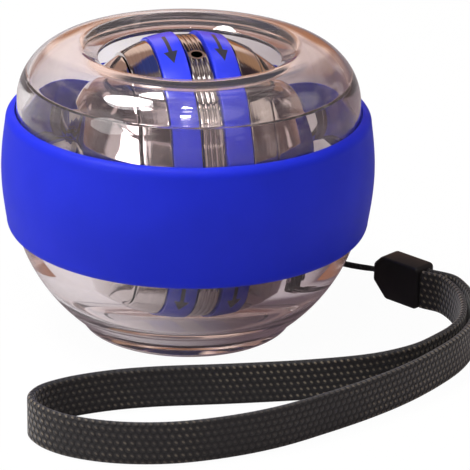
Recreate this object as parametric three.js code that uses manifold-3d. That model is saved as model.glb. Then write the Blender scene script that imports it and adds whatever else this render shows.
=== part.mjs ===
// Gyroscopic wrist ball: a heavy rotor that spins on an axle inside a clear
// two-part casing. The axle tips run in a track round the casing's seam,
// carried by a ring, and a wound spring in the rotor's side starts it turning.
// Millimetres, +Z up. The origin is the middle of the foot's underside.
import * as THREE from 'three';
import { mergeVertices } from 'three/addons/utils/BufferGeometryUtils.js';
import Module from 'manifold-3d';

const wasm = await Module();
wasm.setup();

// Fits shared by every piece
const seatGap = 0.25;         // between pieces that are seated on each other
const runningGap = 0.3;       // round a shaft or pin that turns
const cutOverrun = 1;         // how far a cutting tool runs past the face
const weldDistance = 0.0001;  // corners closer than this are one

// Spring starter in the left side of the rotor, from the arbor outwards
const axleRadius = 1.5;
const tipRound = 0.5;
const arborRadius = 2.7;
const arborHexRise = 0.9;     // hexagon over the arbor's round
const arborHexLength = 2.2;
const arborInset = 2.3;       // from the ledges' edge in to the arbor's outer end
const drumRadius = 9.6;
const drumWall = 0.8;
const drumThickness = 4.9;
const drumEndPlay = 0.4;
const ratchetThickness = 1.9;
const toothCount = 12;
const toothHeight = 1.6;
const springThickness = 0.35;
const springTurns = 5;
const pawlCount = 2;
const pawlStandOff = 1.8;     // from the teeth out to the pawls' pins
const pawlPinRadius = 0.6;
const pawlHubRadius = 1.5;
const pawlLength = 5.4;
const pawlTipWidth = 0.7;
const pawlThickness = 1.4;
const pawlTurn = THREE.MathUtils.degToRad(28);  // from lifted clear to engaged
const cavityClearance = 0.7;  // round the pawls' hubs
const arborHexRadius = arborRadius + arborHexRise;
const pawlPivotRadius = drumRadius + toothHeight + pawlStandOff;
const cavityRadius = pawlPivotRadius + pawlHubRadius + cavityClearance;
const cavityDepth = drumThickness + runningGap + drumEndPlay;

// Rotor, round the starter
const middleHalfWidth = 2.1;
const middleRingDrop = 0.3;   // middle ring under the wheels
const middleRingDepth = 5;
const stripeWidth = 5.2;
const stripeThickness = 2.6;
const stripeRise = 0.4;       // blue rings over the wheels
const wheelHalfWidth = 12.4;
const domeWall = 2.322;       // outside the cavity's far corner
const domeFaceWall = 3.6;     // between the cavity and the hub's face
const domeDrop = 0.3;         // side caps under the wheels
const hubBossRadius = 6;
const hubRecessDepth = 1.2;
const starterHoleRadius = 1.8;
const starterHoleAngle = THREE.MathUtils.degToRad(15);
const grooveDepth = 0.4;      // fine grooves round the middle ring
const grooveWidth = 0.5;
const grooveCount = 3;
const domeRadius = Math.hypot(cavityRadius + domeWall, wheelHalfWidth + seatGap + cavityDepth);
const domeHalfWidth = wheelHalfWidth + cavityDepth + domeFaceWall;
const rotorRadius = domeRadius + domeDrop;             // bright metal of the wheels
const stripeRadius = rotorRadius + stripeRise;         // raised blue rings
const stripeSeatRadius = stripeRadius - stripeThickness;
const bandRingRadius = rotorRadius - middleRingDrop;   // metal ring between the stripes
const middleSeatRadius = bandRingRadius - middleRingDepth;

// Track for the axle tips, and the ledges over and under it
const rotorClearance = 2.7;   // from the stripes out to the ledges
const ledgeDepth = 3.3;
const ledgeThickness = 2;     // of the upper ledge
const ledgeRadius = stripeRadius + rotorClearance;     // inner edge of each ledge
const trackRadius = ledgeRadius + ledgeDepth;          // bottom of the groove

// Casing
const trackWall = 2.4;        // outside the track
const floorThickness = 4.2;
const floorRound = 12;        // inside, between the bore and the floor
const rotorFloorGap = 1.3;
const rotorProud = 1.3;       // how far the rotor stands out of the thumb opening
const sphereDrop = 2.9;       // from the track down to the middle of the lower casing's sphere
const shoulderInset = 1;      // casing's wall at the shoulder, in from the sphere
const shoulderRadius = 11;    // outer round from the wall to the crest
const shoulderWall = 2;       // above the inner step
const lipRadius = 2.1;        // round from the crest into the thumb opening
const innerStepDrop = 6.5;    // from the crest down to the inner step
const stepInset = 2.5;        // from the shoulder's reach in to the foot of the step
const footGroove = 0.5;       // from the casing in to the foot's top
const footFlare = 1.8;        // how far the foot widens up to the casing
const footFlareShare = 0.6;
const footHeight = 3;
const footBulgeShare = 0.6;
const footEdge = 0.6;         // round at the foot's lower edge
const footRim = 5;            // width that the ball stands on
const baseRecessDepth = 0.6;  // shallow recess under the foot
const seamTongue = 1.5;       // height of the tongue that locks the two halves
const trackHeight = stripeRadius + floorThickness + rotorFloorGap;  // middle of the track over the table
const crestHeight = trackHeight + stripeRadius - rotorProud;        // top of the rolled lip
const sphereRadius = trackRadius + trackWall;                       // outside of the lower casing
const sphereHeight = trackHeight - sphereDrop;
const shoulderReach = sphereRadius - shoulderInset;
const openingRadius = shoulderReach - shoulderRadius - lipRadius;   // thumb opening
const footTop = Math.sqrt(sphereRadius ** 2 - (sphereHeight - footHeight) ** 2) - footGroove;
const footRadius = footTop - footFlare;
const baseRecessRadius = footRadius - footRim;

// Grip band
const bandHalfHeight = 11.7;
const bandThickness = 1.6;    // over the casing at its fullest
const bandSwell = 0.9;        // how much fuller it is than beside its rounded edges
const bandEdgeRound = 2;
const bandEdgeShares = [[0.55, 0.1], [0.9, 0.45]];
const bandTop = trackHeight + bandHalfHeight;
const bandBottom = trackHeight - bandHalfHeight;
const bandReach = sphereRadius + bandThickness;
const bandEdgeReach = bandReach - bandSwell;

// Carrier ring with its two bearing blocks
const ringInset = 1.9;        // how far the ring reaches in past the ledges
const ringPlay = 0.6;         // between the ring and the bottom of the track
const ringEndPlay = 0.5;      // over and under the ring in its track
const blockWidth = 10;
const blockHeight = 9;
const blockPlay = 0.6;        // between the rotor's hub and a block
const bushRadius = 3;
const bushFlange = 0.8;
const bushFlangeRise = 0.7;
const ringInnerRadius = ledgeRadius - ringInset;
const ringOuterRadius = trackRadius - ringPlay;
const blockFace = domeHalfWidth + blockPlay;  // distance of a block's inner face from the middle
const arborEnd = ledgeRadius - arborInset;    // distance of the arbor's outer end from the middle
const bushFlangeRadius = bushRadius + bushFlangeRise;

// Wrist lanyard, laid out with its own X along the front of the ball
const lanyardTurn = THREE.MathUtils.degToRad(-13);
const strapWidth = 8;
const strapThickness = 1.3;
const strapEdgeShare = 0.6;   // of the half thickness, taken off each edge
const strapLayerOffset = (strapThickness + runningGap) / 2;
const cordLift = 0.02;        // between the strap's lower edge and the table
const stringRadius = 0.55;
const stringHoleRadius = 1.1;
const stringBoreReach = 4.4;   // of a bore past each end of its stretch
const claspLength = 11.4;
const claspHeight = 8.8;
const claspThickness = 5.4;
const claspTopCut = 1.8;      // corners cut off the nose
const claspLowCut = 3.2;
const claspBevel = 0.6;
const claspTurn = THREE.MathUtils.degToRad(-43);
const claspX = 43.2;
const claspY = 10.3;
const strapRoute = [
  [50.2, 3.7], [51.8, 1.0], [53.0, -2.6], [53.6, -7.0], [53.5, -12.1],
  [52.5, -16.9], [50.2, -21.5], [47.2, -25.5], [44.0, -29.1], [40.0, -32.1],
  [34.4, -34.9], [23.5, -37.9], [9.8, -40.3], [-5.6, -42.5], [-13.5, -44.6],
  [-20.7, -47.9], [-25.0, -51.5], [-26.2, -55.2], [-24.4, -59.0], [-20.2, -62.5],
  [-14.1, -64.8], [-7.1, -65.6], [0.7, -64.8], [10.0, -61.8], [18.1, -57.7],
  [26.1, -52.0], [34.2, -45.5], [41.2, -38.8], [47.2, -31.6], [51.9, -24.5],
  [54.7, -17.6], [55.8, -11.4], [55.7, -5.6], [54.7, -0.4], [52.7, 4.0]];
const stringRoute = [
  [38.4, 14.0, 4.6], [37.1, 15.1, 4.5], [34.3, 15.9, 4.6], [31.1, 15.5, 5.4],
  [27.6, 14.8, 6.9], [24.9, 14.8, 8.4], [22.4, 15.3, 9.6], [20.3, 15.6, 10.7],
  [18.9, 16.8, 11.3], [18.7, 18.0, 10.9], [19.9, 18.9, 9.4], [21.6, 18.5, 8.2],
  [24.4, 17.8, 6.8], [28.2, 17.5, 5.3], [32.3, 17.5, 4.2], [35.8, 16.8, 3.9],
  [38.0, 15.8, 4.1], [39.2, 14.9, 4.2]];
const boreRouteSteps = [[5, 6], [11, 10]];  // stretches of that route that pass through the casing

// Facets
const bodySegments = 36;
const rotorSegments = 36;
const smallSegments = 14;
const strapSteps = 60;
const stringSteps = 26;
const springSteps = 14;       // to each turn
const stringHalfSides = 4;    // facets to each half turn
const shoulderSteps = 8;
const lipSteps = 3;
const lipEndSteps = 4;
const throatSteps = 4;
const wallSteps = 8;
const floorSteps = 6;
const bandSteps = 5;
const rimSteps = 3;
const domeSteps = 5;
const pawlSteps = 6;

// Finishes
const clearPlastic = { color: 0xd9cfd6, roughness: 0.05, metalness: 0 };
const blueRubber = { color: 0x2b37d8, roughness: 0.55, metalness: 0 };
const bluePlastic = { color: 0x2f3be0, roughness: 0.25, metalness: 0 };
const brightMetal = { color: 0xb9b6b2, roughness: 0.12, metalness: 1 };
const steel = { color: 0x9a9a9c, roughness: 0.25, metalness: 1 };
const brass = { color: 0xb08d4a, roughness: 0.3, metalness: 1 };
const paleNylon = { color: 0xd8d4cc, roughness: 0.4, metalness: 0 };
const blackPlastic = { color: 0x101011, roughness: 0.5, metalness: 0 };
const blackWeave = { color: 0x121213, roughness: 0.85, metalness: 0 };

// Points of an arc, from one angle to another
function arc(x, y, radius, from, to, steps) {
  const points = [];
  for (let i = 0; i <= steps; i += 1) {
    const angle = from + (to - from) * i / steps;
    points.push([x + radius * Math.cos(angle), y + radius * Math.sin(angle)]);
  }
  return points;
}

// Points of a spheric surface between two heights from its centre
function sphereRun(radius, from, to, steps) {
  return arc(0, 0, radius, Math.asin(from / radius), Math.asin(to / radius), steps);
}

// A closed outline of [radius, height] pairs turned round the Z axis
function turned(outline, segments = bodySegments) {
  const points = outline.map(([r, z]) => new THREE.Vector2(Math.max(r, 0), z));
  if (THREE.ShapeUtils.isClockWise(points)) points.reverse();
  points.push(points[0].clone());
  const geometry = new THREE.LatheGeometry(points, segments);
  return geometry.rotateX(Math.PI / 2);
}

// The same outline turned round the X axis, heights running along +X
function turnedAlongX(outline, segments = rotorSegments) {
  return turned(outline, segments).rotateY(Math.PI / 2);
}

// A flat outline, facing along X, with its thickness from one place to another
function slabAlongX(shape, from, to, curveSegments = smallSegments) {
  const options = { depth: to - from, bevelEnabled: false, curveSegments };
  const geometry = new THREE.ExtrudeGeometry(shape, options);
  return geometry.rotateY(Math.PI / 2).rotateX(Math.PI / 2).translate(from, 0, 0);
}

// A round bar along X
function barAlongX(radius, from, to, segments = smallSegments) {
  return turnedAlongX([[0, from], [radius, from], [radius, to], [0, to]], segments);
}

function toManifold(geometry) {
  const plain = geometry.clone();
  plain.deleteAttribute('normal');
  plain.deleteAttribute('uv');
  const merged = mergeVertices(plain, weldDistance);
  const triVerts = [];
  const index = merged.index.array;
  for (let i = 0; i < index.length; i += 3) {
    const [a, b, c] = [index[i], index[i + 1], index[i + 2]];
    if (a !== b && b !== c && c !== a) triVerts.push(a, b, c);
  }
  const vertProperties = new Float32Array(merged.attributes.position.array);
  const mesh = new wasm.Mesh({ numProp: 3, vertProperties, triVerts: new Uint32Array(triVerts) });
  return new wasm.Manifold(mesh);
}

function toGeometry(solid) {
  const mesh = solid.getMesh();
  const geometry = new THREE.BufferGeometry();
  geometry.setAttribute('position', new THREE.BufferAttribute(new Float32Array(mesh.vertProperties), 3));
  geometry.setIndex(new THREE.BufferAttribute(new Uint32Array(mesh.triVerts), 1));
  geometry.computeVertexNormals();
  return geometry;
}

function joined(...geometries) {
  return toGeometry(geometries.map(toManifold).reduce((sum, next) => sum.add(next)));
}

function cut(geometry, ...tools) {
  return toGeometry(tools.map(toManifold).reduce((rest, tool) => rest.subtract(tool), toManifold(geometry)));
}

function common(geometry, other) {
  return toGeometry(toManifold(geometry).intersect(toManifold(other)));
}

function piece(name, geometry, finish) {
  const mesh = new THREE.Mesh(geometry, new THREE.MeshStandardMaterial(finish));
  mesh.name = name;
  return mesh;
}

// Casing: radii and heights that several outlines share
const grooveHalfHeight = axleRadius + runningGap;
const ledgeTop = trackHeight + grooveHalfHeight + ledgeThickness;
const seamReach = casingRadiusAt(trackHeight);
const seamMiddle = (trackRadius + seamReach) / 2;
const shoulderMiddleR = shoulderReach - shoulderRadius;
const shoulderMiddleZ = crestHeight - shoulderRadius;

// Outer radius of the casing under the grip band, up to the shoulder
function casingRadiusAt(z) {
  if (z <= trackHeight) return Math.sqrt(sphereRadius ** 2 - (z - sphereHeight) ** 2);
  const share = (z - trackHeight) / (crestHeight - shoulderRadius - trackHeight);
  return THREE.MathUtils.lerp(casingRadiusAt(trackHeight), shoulderReach, Math.min(share, 1));
}

function upperShell() {
  const stepHeight = crestHeight - innerStepDrop;
  const innerRound = shoulderRadius - shoulderWall;
  const stepAngle = Math.asin((stepHeight - shoulderMiddleZ) / innerRound);
  const wallAtStep = shoulderReach - stepInset;
  const lipMiddleR = openingRadius + lipRadius;
  const lipMiddleZ = crestHeight - lipRadius;
  const lipEnd = shoulderWall / 2;
  return turned([
    [seamReach, trackHeight + seamTongue + seatGap],
    ...arc(shoulderMiddleR, shoulderMiddleZ, shoulderRadius, 0, Math.PI / 2, shoulderSteps),
    ...arc(lipMiddleR, lipMiddleZ, lipRadius, Math.PI / 2, Math.PI, lipSteps).slice(1),
    ...arc(openingRadius + lipEnd, lipMiddleZ, lipEnd, Math.PI, 2 * Math.PI, lipEndSteps).slice(1),
    ...arc(shoulderMiddleR, shoulderMiddleZ, innerRound, Math.PI / 2, stepAngle, throatSteps),
    [wallAtStep, stepHeight],
    [trackRadius, ledgeTop],
    [ledgeRadius, ledgeTop],
    [ledgeRadius, trackHeight + grooveHalfHeight],
    [trackRadius, trackHeight + grooveHalfHeight],
    [trackRadius, trackHeight + seatGap / 2],
    [seamMiddle, trackHeight + seatGap / 2],
    [seamMiddle, trackHeight + seamTongue + seatGap]]);
}

function lowerShell() {
  const wallFrom = footHeight - sphereHeight;
  const outer = sphereRun(sphereRadius, wallFrom, trackHeight - sphereHeight, wallSteps);
  const roundMiddleR = ledgeRadius - floorRound;
  const roundMiddleZ = floorThickness + floorRound;
  const shell = turned([
    [0, baseRecessDepth],
    [baseRecessRadius - baseRecessDepth, baseRecessDepth],
    [baseRecessRadius, 0],
    [footRadius - footEdge, 0],
    [footRadius, footEdge],
    [footRadius + footFlare * footFlareShare, footHeight * footBulgeShare],
    [footTop, footHeight],
    ...outer.map(([r, z]) => [r, z + sphereHeight]),
    [seamReach, trackHeight + seamTongue],
    [seamMiddle + seatGap, trackHeight + seamTongue],
    [seamMiddle + seatGap, trackHeight - seatGap / 2],
    [trackRadius, trackHeight - seatGap / 2],
    [trackRadius, trackHeight - grooveHalfHeight],
    [ledgeRadius, trackHeight - grooveHalfHeight],
    ...arc(roundMiddleR, roundMiddleZ, floorRound, 0, -Math.PI / 2, floorSteps),
    [0, floorThickness]]);
  return cut(shell, ...stringHoles());
}

// A straight bore for each strand of the string, along the strand
function stringHoles() {
  return boreRouteSteps.map(([from, to]) => {
    const start = new THREE.Vector3(...stringRoute[from]);
    const end = new THREE.Vector3(...stringRoute[to]);
    const along = end.clone().sub(start);
    const length = along.length() + 2 * stringBoreReach;
    const bore = new THREE.CylinderGeometry(stringHoleRadius, stringHoleRadius, length, smallSegments);
    const turn = new THREE.Quaternion().setFromUnitVectors(new THREE.Vector3(0, 1, 0), along.normalize());
    bore.applyQuaternion(turn);
    bore.translate(...start.add(end).multiplyScalar(0.5).toArray());
    return bore.rotateZ(lanyardTurn);
  });
}

// The band hugs the casing and swells slightly between its rounded edges
function gripBand() {
  const inside = [];
  const outside = [];
  for (let i = 0; i <= bandSteps; i += 1) {
    const share = i / bandSteps;
    inside.push([0, THREE.MathUtils.lerp(bandTop, bandBottom, share)]);
    const z = THREE.MathUtils.lerp(bandBottom + bandEdgeRound, bandTop - bandEdgeRound, share);
    const swell = (bandReach - bandEdgeReach) * Math.sin(Math.PI * share);
    outside.push([bandEdgeReach + swell, z]);
  }
  inside.forEach((point) => { point[0] = casingRadiusAt(point[1]) + seatGap; });
  const topWidth = bandEdgeReach - casingRadiusAt(bandTop) - seatGap;
  const bottomWidth = bandEdgeReach - casingRadiusAt(bandBottom) - seatGap;
  const bottomEdge = bandEdgeShares.map(([out, up]) => [
    bandEdgeReach - bottomWidth * (1 - out), bandBottom + bandEdgeRound * up]);
  const topEdge = bandEdgeShares.map(([out, up]) => [
    bandEdgeReach - topWidth * (1 - out), bandTop - bandEdgeRound * up]).reverse();
  return turned([...inside, ...bottomEdge, ...outside, ...topEdge]);
}

// Ring that carries the axle: a flat ring in the track, with a bearing block at each end of the axle
function carrierRing() {
  const half = grooveHalfHeight - ringEndPlay;
  const ring = turned([
    [ringInnerRadius, -half], [ringOuterRadius, -half],
    [ringOuterRadius, half], [ringInnerRadius, half]]);
  const blockReach = ledgeRadius - runningGap;
  const limit = turned([
    [0, -blockHeight], [blockReach, -blockHeight],
    [blockReach, blockHeight], [0, blockHeight]]);
  const blocks = [-1, 1].map((side) => {
    const length = blockReach - blockFace;
    const box = new THREE.BoxGeometry(length, blockWidth, blockHeight);
    box.translate(side * (blockFace + length / 2), 0, 0);
    return common(box, limit);
  });
  const tipBore = barAlongX(axleRadius + runningGap, -trackRadius, trackRadius);
  const arborBore = barAlongX(arborRadius + seatGap, -arborEnd - seatGap, -blockFace + cutOverrun);
  const hexBore = barAlongX(arborHexRadius + seatGap, -blockFace - arborHexLength - seatGap,
    -blockFace + cutOverrun, 6);
  const bushBore = barAlongX(bushRadius + seatGap, blockFace - cutOverrun, blockReach - seatGap);
  return cut(joined(ring, ...blocks), tipBore, arborBore, hexBore, bushBore);
}

function axleBush() {
  const inside = axleRadius + runningGap;
  const face = blockFace - seatGap;
  const end = ledgeRadius - runningGap - 2 * seatGap;
  return turnedAlongX([
    [inside, face - bushFlange], [bushFlangeRadius, face - bushFlange],
    [bushFlangeRadius, face], [bushRadius, face],
    [bushRadius, end], [inside, end]], smallSegments);
}

function axle() {
  const end = trackRadius - runningGap;
  return turnedAlongX([
    [0, -end], [axleRadius - tipRound, -end], [axleRadius, -end + tipRound],
    [axleRadius, end - tipRound], [axleRadius - tipRound, end], [0, end]], smallSegments);
}

// Wheel half: solid metal, with the seats of the middle ring and of the stripe. Its outline runs
// outwards along X from the middle of the rotor.
function wheelOutline() {
  const stripeEnd = middleHalfWidth + stripeWidth + seatGap;
  const rim = sphereRun(rotorRadius, stripeEnd, wheelHalfWidth, rimSteps);
  return [
    [axleRadius + seatGap, seatGap / 2],
    [middleSeatRadius - seatGap, seatGap / 2],
    [middleSeatRadius - seatGap, middleHalfWidth],
    [stripeSeatRadius - seatGap, middleHalfWidth],
    [stripeSeatRadius - seatGap, stripeEnd],
    ...rim,
    [axleRadius + seatGap, wheelHalfWidth]];
}

// Raised ring with a spheric face
function stripeOutline() {
  const from = middleHalfWidth + seatGap;
  const to = middleHalfWidth + stripeWidth;
  return [
    [stripeSeatRadius, from],
    ...sphereRun(stripeRadius, from, to, rimSteps),
    [stripeSeatRadius, to]];
}

// Side cap: spheric outside, boss round the bearing, and the starter's cavity where there is one
function domeOutline(withCavity) {
  const inner = wheelHalfWidth + seatGap;
  const bore = arborRadius + runningGap;
  const recessEdge = domeHalfWidth - hubRecessDepth;
  const outside = [
    ...sphereRun(domeRadius, inner, domeHalfWidth, domeSteps),
    [hubBossRadius + hubRecessDepth, domeHalfWidth],
    [hubBossRadius, recessEdge],
    [bore, recessEdge]];
  if (!withCavity) return [...outside, [bore, inner]];
  const cavityEnd = inner + cavityDepth;
  return [...outside, [bore, cavityEnd], [cavityRadius, cavityEnd], [cavityRadius, inner]];
}

function mirrored(outline) {
  return outline.map(([r, x]) => [r, -x]);
}

// Ring between the stripes, with fine grooves round it and a hole for a starting cord
function middleRing() {
  const half = middleHalfWidth - seatGap;
  const pitch = 2 * half / (grooveCount + 1);
  const outline = [[middleSeatRadius, -half], [bandRingRadius, -half]];
  for (let i = 1; i <= grooveCount; i += 1) {
    const x = -half + pitch * i;
    outline.push([bandRingRadius, x - grooveWidth / 2], [bandRingRadius - grooveDepth, x]);
    outline.push([bandRingRadius, x + grooveWidth / 2]);
  }
  outline.push([bandRingRadius, half], [middleSeatRadius, half]);
  const ring = turnedAlongX(outline);
  const depth = bandRingRadius - middleSeatRadius + 2 * cutOverrun;
  const hole = new THREE.CylinderGeometry(starterHoleRadius, starterHoleRadius, depth, smallSegments);
  hole.rotateX(Math.PI / 2).translate(0, 0, (bandRingRadius + middleSeatRadius) / 2);
  return cut(ring, hole.rotateX(starterHoleAngle));
}

// Places along X inside the left side of the rotor
const drumInner = -wheelHalfWidth - seatGap - runningGap;
const drumOuter = drumInner - drumThickness;
const ratchetInner = drumOuter + ratchetThickness;

function starterArbor() {
  const inside = axleRadius + runningGap;
  const sleeve = turnedAlongX([
    [inside, -arborEnd], [arborRadius, -arborEnd], [arborRadius, drumInner], [inside, drumInner]]);
  const hexagon = barAlongX(arborHexRadius, -blockFace - arborHexLength, -blockFace + seatGap, 6);
  const bore = barAlongX(inside, -arborEnd - cutOverrun, drumInner + cutOverrun, rotorSegments);
  return cut(joined(sleeve, hexagon), bore);
}

// How far round the axle an engaged pawl's tip stands from its pin, with the tooth's clearance
function engagedTipAngle() {
  const drop = pawlHubRadius - pawlTipWidth;
  const across = pawlLength * Math.cos(pawlTurn) - drop * Math.sin(pawlTurn);
  const up = pawlPivotRadius - pawlLength * Math.sin(pawlTurn) - drop * Math.cos(pawlTurn);
  return Math.atan2(across, up) + runningGap / Math.hypot(across, up);
}

// Drum that holds the spring, with saw teeth round its outer disc
function starterDrum() {
  const tip = drumRadius + toothHeight;
  const bore = arborRadius + runningGap;
  const pitch = 2 * Math.PI / toothCount;
  const outline = [];
  for (let i = 0; i < toothCount; i += 1) {
    const angle = Math.PI / 2 + engagedTipAngle() + pitch * i;
    outline.push(polar(tip, angle), polar(drumRadius + toothHeight / 2, angle + pitch / 2));
    outline.push(polar(drumRadius, angle + pitch));
  }
  const disc = slabAlongX(new THREE.Shape(outline), drumOuter, ratchetInner);
  const cup = turnedAlongX([
    [drumRadius - drumWall, ratchetInner - drumWall], [drumRadius, ratchetInner - drumWall],
    [drumRadius, drumInner], [drumRadius - drumWall, drumInner]]);
  const shaft = barAlongX(bore, drumOuter - cutOverrun, drumInner + cutOverrun, rotorSegments);
  return cut(joined(disc, cup), shaft);
}

// Spiral strip between the arbor and the drum's wall
function mainspring() {
  const first = arborRadius + runningGap + springThickness / 2;
  const last = drumRadius - drumWall - seatGap - springThickness / 2;
  const count = springTurns * springSteps;
  const outer = [];
  const inner = [];
  for (let i = 0; i <= count; i += 1) {
    const angle = 2 * Math.PI * i / springSteps;
    const radius = THREE.MathUtils.lerp(first, last, i / count);
    outer.push(polar(radius + springThickness / 2, angle));
    inner.push(polar(radius - springThickness / 2, angle));
  }
  const shape = new THREE.Shape([...outer, ...inner.reverse()]);
  return slabAlongX(shape, ratchetInner + seatGap, drumInner - seatGap);
}

function polar(radius, angle) {
  return new THREE.Vector2(radius * Math.cos(angle), radius * Math.sin(angle));
}

// Pawl: a hub on its pin and an arm that ends in a blunt tip
function pawl() {
  const shape = new THREE.Shape();
  shape.absarc(0, 0, pawlHubRadius, -Math.PI / 2, Math.PI / 2, false);
  shape.lineTo(-pawlHubRadius, pawlHubRadius);
  shape.lineTo(-pawlLength, -pawlHubRadius + pawlTipWidth);
  shape.lineTo(-pawlLength, -pawlHubRadius);
  shape.closePath();
  const bore = new THREE.Path();
  bore.absarc(0, 0, pawlPinRadius + runningGap, 0, 2 * Math.PI, true);
  shape.holes.push(bore);
  return slabAlongX(shape, -pawlThickness / 2, pawlThickness / 2, pawlSteps);
}

function pawlPin() {
  return barAlongX(pawlPinRadius, drumOuter + seatGap, -wheelHalfWidth - seatGap, smallSegments);
}

// Clasp: a block with a cut nose for the string and a square mouth for the strap
function clasp() {
  const half = claspLength / 2 - claspBevel;
  const low = claspBevel;
  const high = claspHeight - claspBevel;
  const shape = new THREE.Shape();
  shape.moveTo(half, low);
  shape.lineTo(half, high);
  shape.lineTo(-half + claspTopCut, high);
  shape.lineTo(-half, high - claspTopCut);
  shape.lineTo(-half, low + claspLowCut);
  shape.lineTo(-half + claspLowCut, low);
  shape.closePath();
  const options = {
    depth: claspThickness - 2 * claspBevel, bevelThickness: claspBevel, bevelSize: claspBevel,
    bevelSegments: 2 };
  const block = new THREE.ExtrudeGeometry(shape, options);
  block.translate(0, 0, -claspThickness / 2 + claspBevel);
  return block.rotateX(Math.PI / 2);
}

// Flat webbing that stands on its edge, swept along its route with both ends at the clasp's mouth
function wristStrap() {
  const middle = strapWidth / 2 + cordLift;
  const mouth = new THREE.Vector3(claspLength / 2 + runningGap, 0, 0);
  const ends = [-1, 1].map((side) => mouth.clone()
    .add(new THREE.Vector3(0, side * strapLayerOffset, 0))
    .applyAxisAngle(new THREE.Vector3(0, 0, 1), claspTurn)
    .add(new THREE.Vector3(claspX, claspY, middle)));
  const route = strapRoute.map(([x, y]) => new THREE.Vector3(x, y, middle));
  const curve = new THREE.CatmullRomCurve3([ends[0], ...route, ends[1]], false, 'centripetal');
  const w = strapWidth / 2;
  const t = strapThickness / 2;
  const edge = t * strapEdgeShare;
  const section = new THREE.Shape([
    [w, -t + edge], [w, t - edge], [w - edge, t], [-w + edge, t],
    [-w, t - edge], [-w, -t + edge], [-w + edge, -t], [w - edge, -t],
  ].map(([x, y]) => new THREE.Vector2(x, y)));
  return new THREE.ExtrudeGeometry(section, { steps: strapSteps, extrudePath: curve, bevelEnabled: false });
}

// Thin cord from the clasp's nose, in through one hole of the casing and out through the other
function lanyardString() {
  const route = stringRoute.map((point) => new THREE.Vector3(...point));
  const curve = new THREE.CatmullRomCurve3(route, false, 'centripetal');
  const section = new THREE.Shape();
  section.absarc(0, 0, stringRadius, 0, 2 * Math.PI, false);
  return new THREE.ExtrudeGeometry(section, {
    steps: stringSteps, extrudePath: curve, bevelEnabled: false, curveSegments: stringHalfSides });
}

const casing = new THREE.Group();
casing.add(piece('upper_shell', upperShell(), clearPlastic));
casing.add(piece('lower_shell', lowerShell(), clearPlastic));
casing.add(piece('grip_band', gripBand(), blueRubber));

const carrier = new THREE.Group();
carrier.position.z = trackHeight;
carrier.add(piece('carrier_ring', carrierRing(), paleNylon));
carrier.add(piece('starter_arbor', starterArbor(), steel));
carrier.add(piece('axle_bush', axleBush(), brass));

const rotor = new THREE.Group();
rotor.add(piece('axle', axle(), steel));
rotor.add(piece('left_wheel', turnedAlongX(mirrored(wheelOutline())), brightMetal));
rotor.add(piece('right_wheel', turnedAlongX(wheelOutline()), brightMetal));
rotor.add(piece('middle_ring', middleRing(), brightMetal));
rotor.add(piece('left_stripe', turnedAlongX(mirrored(stripeOutline())), bluePlastic));
rotor.add(piece('right_stripe', turnedAlongX(stripeOutline()), bluePlastic));
rotor.add(piece('left_dome', turnedAlongX(mirrored(domeOutline(true))), brightMetal));
rotor.add(piece('right_dome', turnedAlongX(domeOutline(false)), brightMetal));
for (let i = 0; i < pawlCount; i += 1) {
  const seat = new THREE.Group();
  seat.rotation.x = 2 * Math.PI * i / pawlCount;
  const pivot = new THREE.Group();
  pivot.position.z = pawlPivotRadius;
  pivot.add(piece(`pawl_pin_${i + 1}`, pawlPin(), steel));
  const arm = piece(`pawl_${i + 1}`, pawl(), steel);
  arm.position.x = (drumOuter + ratchetInner) / 2;
  pivot.add(arm);
  seat.add(pivot);
  rotor.add(seat);
}
carrier.add(rotor);

const starter = new THREE.Group();
starter.add(piece('starter_drum', starterDrum(), steel));
starter.add(piece('mainspring', mainspring(), steel));
carrier.add(starter);

const lanyard = new THREE.Group();
lanyard.rotation.z = lanyardTurn;
const claspPiece = piece('strap_clasp', clasp(), blackPlastic);
claspPiece.position.set(claspX, claspY, 0);
claspPiece.rotation.z = claspTurn;
lanyard.add(claspPiece);
lanyard.add(piece('wrist_strap', wristStrap(), blackWeave));
lanyard.add(piece('lanyard_string', lanyardString(), blackWeave));

const wristBall = new THREE.Group();
wristBall.add(casing, carrier, lanyard);
export default wristBall;
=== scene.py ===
"""Gyroscopic wrist ball: the finished pieces, their materials, the camera and a plain studio."""
import math

import bmesh
import bpy
from bpy.props import FloatProperty, FloatVectorProperty, IntProperty, PointerProperty
from mathutils import Matrix, Vector


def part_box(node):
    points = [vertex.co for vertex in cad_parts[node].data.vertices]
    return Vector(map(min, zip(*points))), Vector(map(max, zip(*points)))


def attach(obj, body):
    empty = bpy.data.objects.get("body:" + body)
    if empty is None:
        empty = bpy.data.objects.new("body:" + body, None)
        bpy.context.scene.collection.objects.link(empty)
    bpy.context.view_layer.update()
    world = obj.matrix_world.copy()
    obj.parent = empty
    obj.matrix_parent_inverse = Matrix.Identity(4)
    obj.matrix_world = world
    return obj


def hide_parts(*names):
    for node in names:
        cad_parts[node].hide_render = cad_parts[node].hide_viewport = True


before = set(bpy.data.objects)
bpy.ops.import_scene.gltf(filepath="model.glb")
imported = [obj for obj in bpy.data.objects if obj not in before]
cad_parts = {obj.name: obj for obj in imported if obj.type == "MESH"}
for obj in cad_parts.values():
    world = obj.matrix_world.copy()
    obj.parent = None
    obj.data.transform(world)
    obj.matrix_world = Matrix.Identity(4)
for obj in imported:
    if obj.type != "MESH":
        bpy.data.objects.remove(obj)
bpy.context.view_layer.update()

bl_info = {
    "name": "Wrist Ball",
    "version": (1, 0, 0),
    "blender": (4, 5, 0),
    "location": "View3D > Sidebar > Wrist Ball",
    "description": "Builds a gyroscopic wrist ball with its lanyard",
    "category": "Add Mesh",
}

MM = 0.001
FULL_TURN = 2 * math.pi
SEAT_GAP = 0.25 * MM
RUNNING_GAP = 0.3 * MM
WELD = 1e-7
SHARP = math.radians(32)
ROUND_STEPS = 192
SMALL_STEPS = 64
FINE_EDGE = 0.1 * MM

axle_low, axle_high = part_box("axle")


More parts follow.
